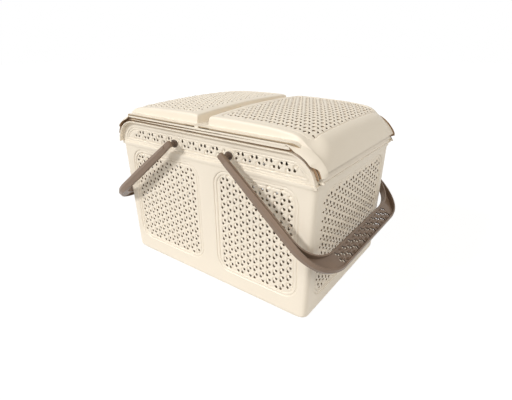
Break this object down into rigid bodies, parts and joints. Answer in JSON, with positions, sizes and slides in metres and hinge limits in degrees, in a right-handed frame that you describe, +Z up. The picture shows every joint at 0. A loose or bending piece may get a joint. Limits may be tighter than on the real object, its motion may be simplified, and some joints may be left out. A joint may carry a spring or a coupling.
{
  "type": "lidded picnic basket",
  "caption": "Rectangular woven-look plastic picnic basket with domed flip lids hinged on a centre bar and swing handles that fold down over the short sides.",
  "frame": {"origin": "centre of the flat underside", "axes": "+Z up, +X along the length towards the right-hand lid, -Y towards the front long side"},
  "size_m": [0.4947, 0.327, 0.3045],
  "materials": {
    "cream_plastic": "satin",
    "brown_plastic": "satin"
  },
  "bodies": {
    "basket": {"tub": "cream_plastic", "rim_frame": "cream_plastic"},
    "right_lid": {"lid_right": "cream_plastic"},
    "left_lid": {"lid_left": "cream_plastic"},
    "right_handle": {"handle_right": "brown_plastic"},
    "left_handle": {"handle_left": "brown_plastic"}
  },
  "joints": [
    {"name": "lid_right_hinge", "type": "hinge", "parent": "basket", "child": "right_lid", "pos_m": [0.0145, 0, 0.294], "axis": [0, -1, 0], "range_deg": [0, 75]},
    {"name": "lid_left_hinge", "type": "hinge", "parent": "basket", "child": "left_lid", "pos_m": [-0.0145, 0, 0.294], "axis": [0, 1, 0], "range_deg": [0, 75]},
    {"name": "handle_right_pivot", "type": "hinge", "parent": "basket", "child": "right_handle", "pos_m": [0.06, 0, 0.247], "axis": [0, -1, 0], "range_deg": [-2, 141]},
    {"name": "handle_left_pivot", "type": "hinge", "parent": "basket", "child": "left_handle", "pos_m": [-0.06, 0, 0.247], "axis": [0, 1, 0], "range_deg": [-3, 141]}
  ]
}
